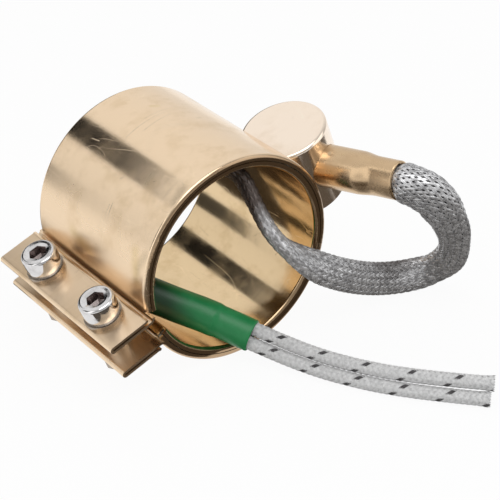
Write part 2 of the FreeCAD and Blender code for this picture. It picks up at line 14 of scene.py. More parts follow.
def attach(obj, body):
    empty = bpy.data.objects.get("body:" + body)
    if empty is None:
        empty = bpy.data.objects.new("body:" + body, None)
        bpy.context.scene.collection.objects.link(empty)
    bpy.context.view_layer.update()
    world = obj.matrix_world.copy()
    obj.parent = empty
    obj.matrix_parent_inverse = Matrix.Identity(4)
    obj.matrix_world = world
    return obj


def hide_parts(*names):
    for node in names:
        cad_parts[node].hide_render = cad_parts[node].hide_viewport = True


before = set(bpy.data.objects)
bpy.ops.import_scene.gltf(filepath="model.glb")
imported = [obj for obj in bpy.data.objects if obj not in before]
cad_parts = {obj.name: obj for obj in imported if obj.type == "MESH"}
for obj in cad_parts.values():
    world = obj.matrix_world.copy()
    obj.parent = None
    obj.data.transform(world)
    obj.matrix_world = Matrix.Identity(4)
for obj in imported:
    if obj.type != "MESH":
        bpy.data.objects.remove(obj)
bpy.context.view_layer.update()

MM = 0.001
FLOOR_Z = -25.6 * MM

# ---- lead routes, control points in metres
BRAID_ROUTE = [
    (0.03531, -0.03019, 0.01306), (0.0388, -0.04118, 0.01435), (0.0450, -0.0434, 0.0044),
    (0.0518, -0.0388, -0.0058), (0.0574, -0.0328, -0.0156), (0.0556, -0.0272, -0.0216),
    (0.0464, -0.0242, -0.0218), (0.0347, -0.0258, -0.0166), (0.0232, -0.0274, -0.0096),
    (0.0134, -0.0270, -0.0024), (0.0078, -0.0246, 0.0044), (0.0064, -0.0202, 0.0112),
    (0.0062, -0.0144, 0.0174), (0.0022, -0.0092, 0.0183), (-0.0086, -0.0058, 0.0162),
    (-0.0164, -0.0048, 0.0084), (-0.0183, -0.0046, 0.0014), (-0.0178, -0.0052, -0.0070),
    (-0.0132, -0.0092, -0.0118),
]
SLEEVE_ROUTE = [
    (-0.0153, -0.0074, -0.0106), (-0.0124, -0.0099, -0.0123), (-0.0092, -0.0131, -0.0140),
    (-0.0044, -0.01764, -0.01636), (0.0008, -0.0264, -0.0189),
]
WIRE_ROUTES = [
    [(0.00028, -0.02373, -0.01677), (0.0064, -0.03423, -0.01977), (0.0128, -0.0459, -0.0209),
     (0.0216, -0.0594, -0.0207), (0.0337, -0.0719, -0.0205)],
    [(-0.00162, -0.02403, -0.01959), (0.0045, -0.03453, -0.02259), (0.0112, -0.0469, -0.0237),
     (0.0204, -0.0606, -0.0237), (0.0319, -0.0728, -0.0236)],
]

# ---- places and directions of the CAD's pieces
SHEATH_RADIUS = 25.0           # inside of the sheath, in mm: strokes on it are measured here
CLAMP_ANGLE = math.radians(200.3)
TO_CLAMP = np.array((math.cos(CLAMP_ANGLE), 0.0, math.sin(CLAMP_ANGLE)))
SCREW_UP = np.array((math.sin(CLAMP_ANGLE), 0.0, -math.cos(CLAMP_ANGLE)))    # and the drum's axis
SCREW_REACH = 31.9             # bore's axis to a screw's axis, in mm
SCREW_PLACES = {"front": -14.9, "rear": 9.5}
TUBE_AXIS = np.array(Vector((0.3007, -0.9472, 0.1112)).normalized())
TUBE_MOUTH = np.array((36.82, -34.93, 13.62))
TUBE_LENGTH = 19.3             # outside the drum, in mm


# ---------------------------------------------------------------- node materials

class Shader:
    """The node tree of a material or world, with a short way to add a node and wire its inputs."""

    def __init__(self, owner, output="OutputMaterial"):
        owner.use_nodes = True
        self.owner = owner
        self.tree = owner.node_tree
        self.tree.nodes.clear()
        self.output = self.node(output)
        self.coordinates = self.node("TexCoord").outputs
        self.place = self.coordinates["Object"]

    def node(self, kind, inputs=None, **settings):
        item = self.tree.nodes.new("ShaderNode" + kind)
        for key, value in settings.items():
            setattr(item, key, value)
        for key, value in (inputs or {}).items():
            self.put(item.inputs[key], value)
        return item

    def put(self, socket, value):
        if isinstance(value, bpy.types.NodeSocket):
            self.tree.links.new(value, socket)
        elif isinstance(value, tuple) and len(value) == 3 and socket.type == "RGBA":
            socket.default_value = (*value, 1.0)
        else:
            socket.default_value = value

    def math(self, operation, *values, clamp=False):
        return self.node("Math", dict(enumerate(values)), operation=operation, use_clamp=clamp).outputs[0]

    def noise(self, scale, detail=2.0, roughness=0.5, vector=None, distortion=0.0):
        inputs = {"Vector": vector or self.place, "Scale": scale, "Detail": detail,
                  "Roughness": roughness, "Distortion": distortion}
        return self.node("TexNoise", inputs).outputs["Fac"]

    def ramp(self, value, low, high, start=0.0, end=1.0):
        """From start to end, smoothly, as the value goes from low to high."""
        inputs = {"Value": value, "From Min": low, "From Max": high, "To Min": start, "To Max": end}
        return self.node("MapRange", inputs, interpolation_type="SMOOTHSTEP").outputs["Result"]

    def split(self, vector=None):
        return self.node("SeparateXYZ", {"Vector": vector or self.place}).outputs

    def mix(self, share, first, second):
        item = self.node("Mix", data_type="RGBA")
        for index, value in ((0, share), (6, first), (7, second)):
            self.put(item.inputs[index], value)
        return item.outputs[2]

    def bump(self, height, distance, strength=1.0, normal=None):
        inputs = {"Height": height, "Distance": distance, "Strength": strength}
        if normal is not None:
            inputs["Normal"] = normal
        return self.node("Bump", inputs).outputs["Normal"]

    def scratches(self, scale, width, seed):
        """Thin wandering lines: where a stretched noise crosses its middle, broken up by another."""
        moved = self.node("Mapping", {"Vector": self.place, "Location": (seed, 2 * seed, 3 * seed),
                                      "Rotation": (0.4 * seed, 0.9 * seed, 1.7 * seed),
                                      "Scale": (1.0, 0.22, 1.0)}).outputs["Vector"]
        lines = self.noise(scale, 0.0, 0.5, moved)
        line = self.ramp(self.math("ABSOLUTE", self.math("SUBTRACT", lines, 0.5)), 0.0, width, 1.0, 0.0)
        patch = self.ramp(self.noise(scale * 0.6, 1.0, 0.5, moved), 0.52, 0.64)
        return self.math("MULTIPLY", line, patch)

    def surface(self, **inputs):
        names = {key.replace("_", " "): value for key, value in inputs.items()}
        return self.finish(self.node("BsdfPrincipled", names))

    def finish(self, shader):
        self.put(self.output.inputs["Surface"], shader.outputs[0])
        return self.owner


def new_shader(name):
    return Shader(bpy.data.materials.new(name))


def unrolled(shader):
    """Place on the flat sheet that the sheath was rolled from: round the bore, and along it."""
    place = shader.split()
    turn = shader.math("ARCTAN2", place["Z"], place["X"])
    length = shader.math("MULTIPLY", turn, SHEATH_RADIUS * MM)
    return shader.node("CombineXYZ", {"X": length, "Y": place["Y"], "Z": 0.0}).outputs[0]


def strokes(shader, flat, lines):
    """Mask of short straight strokes on the unrolled sheet, each fading to nothing at its width."""
    total = 0.0
    for x0, y0, x1, y1, width in lines:
        run = Vector((x1 - x0, y1 - y0, 0.0)) * MM
        start = Vector((x0, y0, 0.0)) * MM
        away = shader.node("VectorMath", {0: flat, 1: tuple(start)}, operation="SUBTRACT").outputs[0]
        along = shader.node("VectorMath", {0: away, 1: tuple(run)}, operation="DOT_PRODUCT")
        share = shader.math("DIVIDE", along.outputs["Value"], run.length_squared, clamp=True)
        foot = shader.node("VectorMath", {0: tuple(run), "Scale": share}, operation="SCALE").outputs[0]
        gap = shader.node("VectorMath", {0: away, 1: foot}, operation="DISTANCE").outputs["Value"]
        stroke = shader.ramp(gap, 0.0, width * MM, 1.0, 0.0)
        total = shader.math("MAXIMUM", total, stroke)
    return total


def hand_marks(s, flat, tone, dull, normal):
    """Scores, a shallow dent, grime and tarnish of the sheath, and its duller end at the ears."""
    scored = strokes(s, flat, SCORES)
    grime = s.math("MULTIPLY", strokes(s, flat, GRIME), s.ramp(s.noise(5200, 2.0, 0.6, flat), 0.30, 0.75))
    tone = s.mix(s.math("MULTIPLY", scored, 0.4), tone, (0.98, 0.84, 0.62))
    tone = s.mix(s.math("MULTIPLY", grime, 0.55), tone, (0.26, 0.23, 0.14))
    tone = s.mix(s.math("MULTIPLY", strokes(s, flat, TARNISH), 0.28), tone, (0.62, 0.46, 0.16))
    dull = s.math("MULTIPLY_ADD", grime, 0.15, dull)
    dull = s.math("ADD", dull, s.ramp(s.split()["X"], -28.0 * MM, -17.0 * MM, 0.15, 0.0))
    normal = s.bump(scored, 0.016 * MM, 1.0, normal)
    normal = s.bump(strokes(s, flat, DENT), 0.06 * MM, 1.0, normal)
    return tone, dull, normal


def painted_rim_reflection(s, tone, edge):
    """Painted dark reflection: darker brass where the sheet's edges turn at both ends of the band, but
    not on the ears.
    """
    place = s.split()
    along = s.math("ABSOLUTE", place["Y"])
    rim_reflection = s.ramp(along, (edge - 0.55) * MM, (edge - 0.15) * MM)
    rim_reflection = s.math("MULTIPLY", rim_reflection, s.ramp(place["X"], -25.2 * MM, -23.8 * MM))
    return s.mix(s.math("MULTIPLY", rim_reflection, 0.9), tone, (0.44, 0.30, 0.18))


def sheet_brass(name, light, deep, rough, wave, rolled=True, edge=None, marked=False):
    """Thin polished brass sheet: roll lines, waviness, scratches and dull stains.

    rolled follows the sheet round the bore, edge is half the band's width up to its turned
    edges in mm, where a painted dark reflection goes, and marked adds the sheath's hand marks.
    """
    s = new_shader(name)
    flat = unrolled(s) if rolled else s.place
    lines_at = s.node("Mapping", {"Vector": flat, "Scale": (1.0, 0.035, 1.0)}).outputs["Vector"]
    lines = s.noise(2600, 3.0, 0.6, lines_at)
    cross_at = s.node("Mapping", {"Vector": flat, "Scale": (0.05, 1.0, 1.0)}).outputs["Vector"]
    cross = s.noise(1500, 2.0, 0.55, cross_at)
    slow = s.noise(62, 2.0, 0.5, flat, 0.6)
    stain = s.ramp(s.noise(95, 4.0, 0.62, flat), 0.46, 0.72)
    spots = s.ramp(s.noise(900, 3.0, 0.6, flat), 0.66, 0.8)
    hairs = s.math("ADD", s.scratches(260, 0.006, 1.3), s.scratches(420, 0.008, 4.1), clamp=True)
    tone = s.mix(s.math("MULTIPLY", stain, 0.45), light, deep)
    tone = s.mix(s.math("MULTIPLY", spots, 0.35), tone, tuple(0.55 * c for c in deep))
    tone = s.mix(s.math("MULTIPLY", hairs, 0.4), tone, tuple(min(1.0, 1.18 * c) for c in light))
    dull = s.math("MULTIPLY_ADD", stain, 0.07, rough)
    dull = s.math("MULTIPLY_ADD", lines, 0.05, dull)
    dull = s.math("MULTIPLY_ADD", spots, 0.14, dull)
    normal = s.bump(slow, wave * MM)
    normal = s.bump(s.math("ADD", lines, cross), 0.0025 * MM, 1.0, normal)
    normal = s.bump(hairs, 0.006 * MM, 1.0, normal)
    if marked:
        tone, dull, normal = hand_marks(s, flat, tone, dull, normal)
    # painted dark reflection on the turned edges at both ends of the band
    if edge:
        tone = painted_rim_reflection(s, tone, edge)
    return s.surface(Base_Color=tone, Metallic=1.0, Roughness=dull, Normal=normal)


def plated_steel(name, light, dark, rough):
    """Bright plated steel with turning marks and fine wear."""
    s = new_shader(name)
    blotch = s.ramp(s.noise(420, 4.0, 0.6), 0.4, 0.7)
    hairs = s.scratches(900, 0.012, 2.2)
    fine = s.noise(5200, 2.0, 0.5)
    tone = s.mix(s.math("MULTIPLY", blotch, 0.5), light, dark)
    dull = s.math("MULTIPLY_ADD", blotch, 0.14, rough)
    normal = s.bump(fine, 0.0015 * MM)
    normal = s.bump(hairs, 0.004 * MM, 1.0, normal)
    return s.surface(Base_Color=tone, Metallic=1.0, Roughness=dull, Normal=normal)


def plain(name, light, dark, rough, grain, metal=0.0):
    """A plain mottled surface for the pieces inside the box and between the sheets."""
    s = new_shader(name)
    mottle = s.ramp(s.noise(grain, 4.0, 0.6), 0.35, 0.68)
    return s.surface(Base_Color=s.mix(mottle, light, dark), Metallic=metal,
                     Roughness=s.ramp(mottle, 0.0, 1.0, rough, rough + 0.1),
                     Normal=s.bump(s.noise(grain * 5), 0.01 * MM))


def braid_steel():
    """Fine drawn steel wire: bright, with dull lengths, and with painted shade darkening it inside the
    bore.
    """
    s = new_shader("braid_wire")
    patch = s.ramp(s.noise(850, 3.0, 0.6), 0.36, 0.66)
    soot = s.ramp(s.noise(150, 2.0, 0.5), 0.5, 0.75)
    tone = s.mix(patch, (0.82, 0.82, 0.83), (0.38, 0.375, 0.38))
    tone = s.mix(s.math("MULTIPLY", soot, 0.25), tone, (0.15, 0.14, 0.14))
    # painted shade: the braid turns near black towards the inside of the bore
    painted_shade = s.ramp(s.split()["Y"], -28.0 * MM, -22.0 * MM, 0.0, 0.97)
    tone = s.mix(painted_shade, tone, (0.085, 0.063, 0.053))
    return s.surface(Base_Color=tone, Metallic=0.6, Roughness=s.ramp(patch, 0.0, 1.0, 0.22, 0.40),
                     Normal=s.bump(s.noise(6000, 1.0), 0.003 * MM))


def yarn(name, light, dark):
    """Glass-fibre yarn: matt, with fine filaments."""
    s = new_shader(name)
    mottle = s.ramp(s.noise(1500, 3.0, 0.6), 0.3, 0.7)
    fuzz = s.noise(9000, 2.0, 0.6)
    return s.surface(Base_Color=s.mix(mottle, light, dark), Roughness=0.78,
                     Sheen_Weight=0.15, Sheen_Roughness=0.4,
                     Normal=s.bump(s.math("ADD", mottle, fuzz), 0.02 * MM))


def shrink_sleeve():
    """Shrunk polyolefin: green, semi-matt, faintly wrinkled, and with painted shade darkening its inner
    end.
    """
    s = new_shader("green_shrink")
    wrinkle = s.noise(420, 3.0, 0.55, distortion=0.5)
    smear = s.ramp(s.noise(160, 3.0, 0.6), 0.42, 0.7)
    tone = s.mix(smear, (0.014, 0.220, 0.066), (0.022, 0.265, 0.086))
    # painted shade: the sleeve turns near black towards its inner end
    painted_shade = s.ramp(s.split()["X"], -14.5 * MM, -7.5 * MM, 0.88, 0.0)
    tone = s.mix(painted_shade, tone, (0.004, 0.020, 0.006))
    normal = s.bump(wrinkle, 0.05 * MM)
    normal = s.bump(s.noise(5200, 2.0), 0.004 * MM, 1.0, normal)
    return s.surface(Base_Color=tone, Roughness=s.ramp(smear, 0.0, 1.0, 0.36, 0.46),
                     Specular_IOR_Level=0.5, Normal=normal)


# marks on the unrolled sheath, as strokes in mm: two end points and a width.  X goes round the
# sheath from the bore's +X side towards +Z, and Y along it.
SCORES = [
    (50.4, 5.3, 38.7, 6.5, 0.08), (46.6, 3.4, 38.2, 4.9, 0.07), (43.9, 7.2, 36.9, 7.7, 0.06),
    (54.9, 13.6, 54.5, 11.1, 0.10),
    (64.6, -3.6, 76.3, -3.9, 0.08), (64.1, -4.4, 75.5, -5.0, 0.10), (66.0, -2.4, 72.0, -2.8, 0.06),
]
DENT = [
    (48.4, -3.4, 47.7, -2.4, 2.2), (47.7, -2.4, 46.6, -1.4, 2.4), (46.6, -1.4, 45.2, -0.6, 2.4),
    (45.2, -0.6, 43.2, -0.2, 2.4), (43.2, -0.2, 41.4, -0.6, 2.2), (41.4, -0.6, 39.6, -1.8, 1.9),
]
GRIME = [
    (56.0, -20.8, 53.4, -20.0, 1.9), (73.4, -19.0, 69.6, -20.6, 2.0), (58.6, -2.6, 58.2, -3.0, 0.4),
    (55.2, -11.6, 55.0, -12.0, 0.4), (53.8, -9.4, 56.4, -10.2, 1.8), (34.0, 0.5, 33.0, 0.4, 0.35),
]
TARNISH = [(39.4, 10.9, 38.4, 10.2, 1.1), (70.0, -17.0, 76.0, -19.0, 2.2), (76.0, 7.0, 77.5, 0.0, 2.6)]

MATERIALS = {
    "sheath": sheet_brass("brass_outside", (0.89, 0.69, 0.48), (0.68, 0.49, 0.28), 0.13, 0.08,
                          edge=22.2, marked=True),
    # darker brass in the bore than outside: painted shade
    "shaded_lining": sheet_brass("brass_bore_painted_shade", (0.78, 0.59, 0.36), (0.54, 0.37, 0.17), 0.09, 0.07,
                          edge=22.0),
    "box": sheet_brass("brass_drum", (0.97, 0.83, 0.69), (0.80, 0.62, 0.44), 0.13, 0.04, False),
    # darker brass than the sheath: painted dark reflection on the tube
    "tube": sheet_brass("brass_tube", (0.64, 0.46, 0.28), (0.44, 0.29, 0.16), 0.24, 0.04, False),
    "screw": plated_steel("bright_screw", (0.74, 0.73, 0.73), (0.52, 0.50, 0.49), 0.09),
    # dark steel in the hex socket: painted shade
    "socket": plated_steel("socket_painted_shade", (0.36, 0.31, 0.30), (0.16, 0.12, 0.11), 0.2),
    # dark steel for washers and nuts: painted shade under the ears
    "shaded_washer": plated_steel("washer_painted_shade", (0.40, 0.34, 0.28), (0.22, 0.18, 0.15), 0.26),
    "mica": plain("mica_board", (0.62, 0.55, 0.42), (0.42, 0.36, 0.26), 0.6, 400),
    "alloy": plain("resistance_alloy", (0.52, 0.52, 0.50), (0.34, 0.34, 0.33), 0.35, 600, 1.0),
    "ceramic": plain("steatite", (0.86, 0.84, 0.78), (0.72, 0.69, 0.62), 0.7, 700),
    "nickel": plain("drawn_nickel", (0.66, 0.64, 0.60), (0.44, 0.42, 0.39), 0.32, 700, 1.0),
    "braid": braid_steel(),
    # near black inside the braid: painted shade in the gaps between strands
    "core": plain("braid_inside_painted_shade", (0.055, 0.050, 0.052), (0.022, 0.020, 0.021), 0.7, 900),
    "white_yarn": yarn("glass_yarn", (0.72, 0.72, 0.72), (0.54, 0.54, 0.54)),
    "tracer": yarn("tracer_yarn", (0.085, 0.080, 0.082), (0.040, 0.038, 0.040)),
    "sleeve": shrink_sleeve(),
}
NODE_MATERIALS = {
    "outer_sheath": "sheath", "inner_sheath": "shaded_lining", "inner_mica": "mica", "outer_mica": "mica",
    "heating_ribbon": "alloy", "clamp_screw_front": "screw", "clamp_screw_rear": "screw",
    "screw_washer_front": "shaded_washer", "screw_washer_rear": "shaded_washer",
    "clamp_nut_front": "shaded_washer", "clamp_nut_rear": "shaded_washer",
    "terminal_box": "box", "terminal_cover": "box", "outlet_tube": "tube",
    "terminal_bushing": "ceramic", "terminal_tab_1": "nickel", "terminal_tab_2": "nickel",
    "splice_crimp_1": "nickel", "splice_crimp_2": "nickel",
    "lead_conductor_1": "nickel", "lead_conductor_2": "nickel",
    "inner_lead_1": "white_yarn", "inner_lead_2": "white_yarn",
    "lead_braid": "braid", "heat_shrink_sleeve": "sleeve",
    "lead_wire_1": "white_yarn", "lead_wire_2": "white_yarn",
}


def dress_frame():
    """Give each CAD piece its material."""
    for node_name, key in NODE_MATERIALS.items():
        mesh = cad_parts[node_name].data
        if not mesh.materials:
            mesh.materials.append(None)
        for index in range(len(mesh.materials)):
            mesh.materials[index] = MATERIALS[key]


dress_frame()


# ---------------------------------------------------------------- mesh helpers

def grid_faces(rows, columns, start, wrap):
    """Quads of one grid of vertices, closed across its columns if wrap is set."""
    across = columns if wrap else columns - 1
    i, j = np.meshgrid(np.arange(rows - 1), np.arange(across), indexing="ij")
    after = (j + 1) % columns
    quads = np.stack([i * columns + j, i * columns + after, (i + 1) * columns + after,
                      (i + 1) * columns + j], axis=-1)
    return quads.reshape(-1, 4) + start


def mesh_piece(name, grids, material, body, wrap=False, flat=()):
    """A mesh from one or more grids of points, in a material and riding on a body."""
    points, faces, smooth, start = [], [], [], 0
    for number, grid in enumerate(grids):
        rows, columns = grid.shape[:2]
        points.append(grid.reshape(-1, 3))
        faces.append(grid_faces(rows, columns, start, wrap))
        smooth += [number not in flat] * len(faces[-1])
        start += rows * columns
    mesh = bpy.data.meshes.new(name)
    mesh.from_pydata(np.concatenate(points).tolist(), [], np.concatenate(faces).tolist())
    mesh.materials.append(material)
    mesh.polygons.foreach_set("use_smooth", smooth)
    piece = bpy.data.objects.new(name, mesh)
    bpy.context.scene.collection.objects.link(piece)
    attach(piece, body)
    return piece


def spline_line(name, route, spacing):
    """Points along the NURBS spline whose control points are the route, evenly spaced."""
    curve = bpy.data.curves.new(name, "CURVE")
    curve.dimensions = "3D"
    spline = curve.splines.new("NURBS")
    spline.points.add(len(route) - 1)
    for point, place in zip(spline.points, route):
        point.co = (*place, 1.0)
    spline.order_u = 3
    spline.use_endpoint_u = True
    spline.resolution_u = 40
    holder = bpy.data.objects.new(name, curve)
    bpy.context.scene.collection.objects.link(holder)
    graph = bpy.context.evaluated_depsgraph_get()
    mesh = bpy.data.meshes.new_from_object(holder.evaluated_get(graph))
    line = np.array([v.co[:] for v in mesh.vertices])
    bpy.data.objects.remove(holder)
    bpy.data.curves.remove(curve)
    bpy.data.meshes.remove(mesh)
    along = np.concatenate([[0.0], np.cumsum(np.linalg.norm(np.diff(line, axis=0), axis=1))])
    steps = np.linspace(0.0, along[-1], max(4, round(along[-1] / spacing)))
    return np.stack([np.interp(steps, along, line[:, k]) for k in range(3)], axis=1), steps


def unit(vectors):
    return vectors / np.linalg.norm(vectors, axis=-1, keepdims=True)


def frames_along(line, steps, guides):
    """Tangent, width and depth directions along a line; the width follows the guides."""
    tangent = unit(np.gradient(line, axis=0))
    share = steps / steps[-1]
    shares = [g[0] for g in guides]
    width = np.stack([np.interp(share, shares, [g[1][k] for g in guides]) for k in range(3)], axis=1)
    width = unit(width - tangent * np.sum(width * tangent, axis=1, keepdims=True))
    return tangent, width, np.cross(tangent, width)


def ease(value, low, high):
    """From 0 to 1, smoothly, as the value goes from low to high."""
    t = np.clip((value - low) / (high - low), 0, 1)
    return t * t * (3 - 2 * t)


def profile(share, stations):
    """A value per point, smoothly between (share, value) stations."""
    shares = np.array([s[0] for s in stations])
    values = np.array([s[1] for s in stations])
    index = np.clip(np.searchsorted(shares, share, side="right") - 1, 0, len(shares) - 2)
    t = ease(share, shares[index], shares[index + 1])
    return values[index] * (1 - t) + values[index + 1] * t


SECTION = 96                   # points round a woven cord's section
STRAND_WIRES = 3               # ribs on each strand


def section_ring(wide, deep, flat):
    """Points round a flattened oval and their outward normals, evenly spaced by length."""
    turn = np.linspace(0, 2 * math.pi, SECTION * 4 + 1)
    x = wide * np.sign(np.cos(turn)) * np.abs(np.cos(turn)) ** flat
    y = deep * np.sign(np.sin(turn)) * np.abs(np.sin(turn)) ** flat
    along = np.concatenate([[0.0], np.cumsum(np.hypot(np.diff(x), np.diff(y)))])
    even = np.linspace(0, along[-1], SECTION + 1)
    x, y = np.interp(even, along, x), np.interp(even, along, y)
    dx, dy = np.gradient(x), np.gradient(y)
    dx[0] = dx[-1] = x[1] - x[-2]
    dy[0] = dy[-1] = y[1] - y[-2]
    size = np.hypot(dx, dy)
    return x, y, dy / size, -dx / size


class Weave:
    """A tubular braid over a line: two sets of strands that pass two over and two under.

    wide and deep are the section's half sizes along the line, flat the power that flattens its
    oval, pitch the length of one turn of a strand and each_way the strands in each set.
    """

    def __init__(self, line, steps, guides, wide, deep, flat, pitch, each_way):
        self.line, self.steps = line, steps
        self.tangent, self.width, self.depth = frames_along(line, steps, guides)
        self.rings = np.array([section_ring(a, b, flat) for a, b in zip(wide, deep)])
        self.pitch, self.each_way = pitch, each_way

    def at(self, turn, row):
        """Place and outward direction on the braid's middle surface, at a share of a turn."""
        position = (turn % 1.0) * SECTION
        low = np.floor(position).astype(int) % SECTION
        t = position - np.floor(position)
        ring, each = self.rings[row], np.arange(len(row))
        pick = [ring[each, k, low] * (1 - t) + ring[each, k, low + 1] * t for k in range(4)]
        x, y, nx, ny = [p[:, None] for p in pick]
        place = self.line[row] + self.width[row] * x + self.depth[row] * y
        return place, unit(self.width[row] * nx + self.depth[row] * ny)

    def strand(self, number, way, breadth, thick, lift, start=0.0):
        """One strand as a ribbed strip: rows along the cord, columns across the strand.

        way is 1 or -1, lift how far it rises over the other set, and start a share of a turn.
        """
        row = np.arange(len(self.line))
        turn = number / self.each_way + way * (self.steps / self.pitch) + start
        place, out = self.at(turn, row)
        over = way * np.sin(math.pi * self.each_way * turn)
        place = place + out * (lift * over)[:, None]
        along = unit(np.gradient(place, axis=0))
        side = unit(np.cross(out, along))
        columns = 2 * STRAND_WIRES + 1
        across = np.linspace(-0.5, 0.5, columns)
        ridge = np.where(np.arange(columns) % 2 == 1, thick, 0.0) - 0.9 * thick * np.abs(2 * across) ** 3
        strip = [place + side * (breadth * c) + out * r for c, r in zip(across, ridge)]
        return np.stack(strip, axis=1)

    def tube(self, shrink, columns=32):
        """A plain tube just under the strands."""
        rows = np.arange(len(self.line))
        rings = []
        for k in range(columns):
            place, out = self.at(np.full(len(rows), k / columns), rows)
            rings.append(place - out * shrink)
        return np.stack(rings, axis=1)


# ---------------------------------------------------------------- lead: braid

# along the braid, by share of its length: its width's direction, and half its width and depth
BRAID_GUIDES = [
    (0.00, (-0.35, 0.00, 0.94)), (0.05, (-0.21, -0.32, 0.92)), (0.10, (0.45, -0.62, 0.60)),
    (0.17, (0.58, -0.82, 0.01)), (0.24, (0.31, -0.88, -0.36)), (0.30, (0.55, -0.50, -0.60)),
    (0.36, (-0.14, -0.40, -0.91)), (0.45, (-0.38, -0.36, -0.85)), (0.53, (-0.42, -0.56, -0.72)),
    (0.60, (-0.20, -0.90, -0.10)), (0.66, (-0.45, -0.86, 0.20)), (0.72, (-0.30, -0.80, 0.50)),
    (0.80, (-0.30, -0.95, 0.10)), (0.90, (0.0, -1.0, 0.0)), (1.00, (0.10, -0.90, 0.30)),
]
BRAID_WIDE = [
    (0.0, 3.6), (0.022, 3.8), (0.034, 4.9), (0.062, 5.3), (0.085, 4.9), (0.13, 4.2), (0.2, 3.8),
    (0.36, 3.9), (0.9, 3.8), (1.0, 3.1),
]
BRAID_DEEP = [
    (0.0, 2.6), (0.022, 3.0), (0.034, 4.0), (0.062, 3.7), (0.085, 3.0), (0.13, 2.3), (0.2, 1.9),
    (0.36, 1.7), (0.9, 1.7), (1.0, 2.6),
]
BRAID_FLATNESS = 0.86
BRAID_PITCH = 46.0
BRAID_STRANDS = 24             # each way
BRAID_STRAND = {"breadth": 0.66 * MM, "thick": 0.11 * MM, "lift": 0.12 * MM}


def make_braid():
    line, steps = spline_line("braid_line", BRAID_ROUTE, 0.34 * MM)
    share = steps / steps[-1]
    wide = profile(share, BRAID_WIDE) * MM
    deep = profile(share, BRAID_DEEP) * MM
    weave = Weave(line, steps, BRAID_GUIDES, wide, deep, BRAID_FLATNESS, BRAID_PITCH * MM, BRAID_STRANDS)
    # a near black tube under the strands: painted shade in their gaps
    core = mesh_piece("braid_shade_core", [weave.tube(0.22 * MM)], MATERIALS["core"], "heater", wrap=True)
    sets = []
    for way, word in ((1, "right"), (-1, "left")):
        strips = [weave.strand(k, way, **BRAID_STRAND) for k in range(BRAID_STRANDS)]
        sets.append(mesh_piece("braid_strands_" + word, strips, MATERIALS["braid"], "heater"))
    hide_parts("lead_braid")
    return core, sets, line, steps[-1]


# ---------------------------------------------------------------- lead: sleeve

def tube_rings(line, steps, guides, wide, deep, columns=48):
    """Rings of points round a line, with an oval section."""
    _, width, depth = frames_along(line, steps, guides)
    turn = np.arange(columns) * 2 * math.pi / columns
    return (line[:, None, :] + width[:, None, :] * (wide[:, None] * np.cos(turn))[:, :, None]
            + depth[:, None, :] * (deep[:, None] * np.sin(turn))[:, :, None])


SLEEVE_WIDE, SLEEVE_DEEP = 4.08, 3.95      # half sizes over the braid, in mm
SLEEVE_NECK = (8.2, 9.8)       # from the mouth: where it steps down on to the wires
SLEEVE_WALL = 0.42
SLEEVE_MOUTH_ROWS = 14         # rows of the inside that show at the mouth
SLEEVE_BACK_ROWS = 10          # and at the end round the braid


def make_sleeve():
    """The shrunk sleeve: a skin, a rounded lip, and the inside as far as it can be seen."""
    line, steps = spline_line("sleeve_line", SLEEVE_ROUTE, 0.3 * MM)
    pair = Vector(WIRE_ROUTES[0][0]) - Vector(WIRE_ROUTES[1][0])
    guides = [(share, tuple(pair.normalized())) for share in (0.0, 1.0)]
    left = (steps[-1] - steps) / MM
    neck = 1 - ease(left, *SLEEVE_NECK)
    swell = 0.01 * np.sin(steps / MM * 0.9) * np.sin(steps / MM * 0.31)
    lip = 0.16 * (1 - ease(left, 0.0, 0.35))
    wide = (SLEEVE_WIDE + swell - 0.22 * neck - lip) * MM
    deep = (SLEEVE_DEEP + swell - 0.55 * neck - lip) * MM

    def shell(inset_wide, inset_deep):
        return tube_rings(line, steps, guides, wide - inset_wide * MM, deep - inset_deep * MM)

    inside = len(line) - SLEEVE_MOUTH_ROWS
    back = shell(0.4, 0.4)[SLEEVE_BACK_ROWS - 1::-1]
    mouth = shell(SLEEVE_WALL, SLEEVE_WALL)[:inside - 1:-1]
    throat = shell(1.9, 1.6)[inside:inside + 1]
    rings = np.concatenate([back, shell(0.0, 0.0), mouth, throat])
    sleeve = mesh_piece("heat_shrink", [rings], MATERIALS["sleeve"], "heater", wrap=True)
    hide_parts("heat_shrink_sleeve")
    return sleeve


# ---------------------------------------------------------------- lead: wires

WIRE_RADIUS = 1.47             # middle of the yarns, in mm
WIRE_FRAY = 0.13               # how much wider the cut end is
WIRE_GUIDES = [(0.0, (-0.55, -0.44, 0.71)), (1.0, (-0.58, -0.40, 0.71))]
WIRE_PITCH = 10.5
WIRE_YARNS = 8                 # each way, and one of them is the tracer
YARN = {"breadth": 0.90 * MM, "thick": 0.09 * MM, "lift": 0.13 * MM}
TRACER = {"breadth": 0.84 * MM, "thick": 0.09 * MM, "lift": 0.15 * MM}
STRAND_RADIUS = 0.14
STRAND_RING = 0.27             # six bare strands stand round a seventh at this radius


def bare_strands(weave, rim, middle, back):
    """Seven short bare strands in a wire's cut end, each a closed little rod."""
    rods = []
    for k in range(7):
        turn = k * math.pi / 3
        off = STRAND_RING * MM if k < 6 else 0.0
        centre = weave.width[-1] * off * math.cos(turn) + weave.depth[-1] * off * math.sin(turn)
        ring = unit(rim - middle) * STRAND_RADIUS * MM + middle + centre
        rods.append(np.stack([ring - 1.2 * back, ring, 0 * ring + middle + centre]))
    return rods


